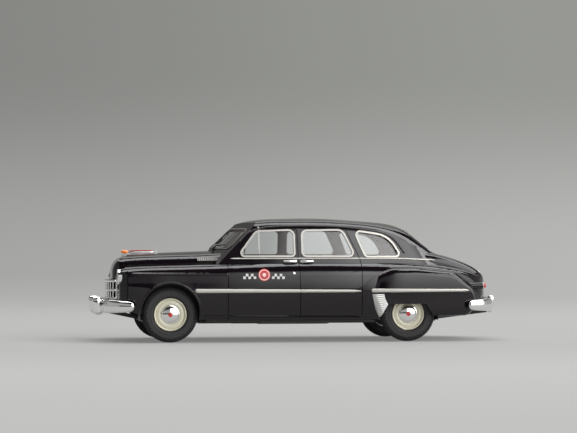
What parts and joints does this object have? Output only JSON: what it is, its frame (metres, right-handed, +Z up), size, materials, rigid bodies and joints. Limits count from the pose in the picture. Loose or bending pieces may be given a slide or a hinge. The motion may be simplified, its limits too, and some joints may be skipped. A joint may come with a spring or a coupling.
{
  "type": "scale model taxi cab",
  "caption": "Small die-cast collector's model of a long 1950s four-door taxi saloon in gloss black with bright trim; its wheels roll on axle rods.",
  "frame": {"origin": "on the ground under the middle of the model's bounding box", "axes": "+X from the nose to the tail, +Y the right-hand side of the car, +Z up"},
  "size_m": [0.1283, 0.0444, 0.0385],
  "materials": {
    "paint_black": "deep gloss enamel",
    "base_black": "satin",
    "interior_brown": "moulded, fine grain",
    "bright_chrome": "vacuum plated",
    "frame_silver": "printed silver, satin",
    "window_clear": "clear moulding",
    "lens_clear": "clear moulding",
    "lens_red": "clear red",
    "lens_amber": "amber",
    "tyre_black": "soft, moulded ribs",
    "rim_ivory": "painted ivory",
    "axle_steel": "bright rod"
  },
  "bodies": {
    "car": {"body_shell": "paint_black", "chassis_plate": "base_black", "exhaust": "base_black", "interior_tub": "interior_brown", "front_seat": "interior_brown", "rear_seat": "interior_brown", "dashboard": "interior_brown", "steering_wheel": "interior_brown", "side_glass": "window_clear", "windscreen_glass": "window_clear", "rear_glass": "window_clear", "window_trims": "frame_silver", "windscreen_trim": "frame_silver", "belt_mouldings": "bright_chrome", "side_mouldings": "bright_chrome", "fender_mouldings": "bright_chrome", "stone_guards": "bright_chrome", "door_handles": "bright_chrome", "bonnet_vents": "bright_chrome", "boot_handle": "bright_chrome", "headlamp_rims": "bright_chrome", "headlamp_lenses": "lens_clear", "parking_lamps": "lens_amber", "tail_lamp_rims": "bright_chrome", "tail_lamp_lenses": "lens_red", "grille": "bright_chrome", "front_bumper": "bright_chrome", "rear_bumper": "bright_chrome", "bonnet_ornament": "bright_chrome", "ornament_nose": "lens_amber", "ornament_fin": "lens_red", "wipers": "bright_chrome", "rear_window_trim": "frame_silver"},
    "front_wheel_set": {"front_axle": "axle_steel", "front_left_tyre": "tyre_black", "front_left_wheel": "rim_ivory", "front_left_hubcap": "bright_chrome", "front_right_tyre": "tyre_black", "front_right_wheel": "rim_ivory", "front_right_hubcap": "bright_chrome"},
    "rear_wheel_set": {"rear_axle": "axle_steel", "rear_left_tyre": "tyre_black", "rear_left_wheel": "rim_ivory", "rear_left_hubcap": "bright_chrome", "rear_right_tyre": "tyre_black", "rear_right_wheel": "rim_ivory", "rear_right_hubcap": "bright_chrome"}
  },
  "joints": [
    {"name": "front_axle_roll", "type": "hinge", "parent": "car", "child": "front_wheel_set", "pos_m": [-0.0405, 0, 0.0086], "axis": [0, 1, 0], "continuous": true},
    {"name": "rear_axle_roll", "type": "hinge", "parent": "car", "child": "rear_wheel_set", "pos_m": [0.0339, 0, 0.0086], "axis": [0, 1, 0], "continuous": true}
  ]
}
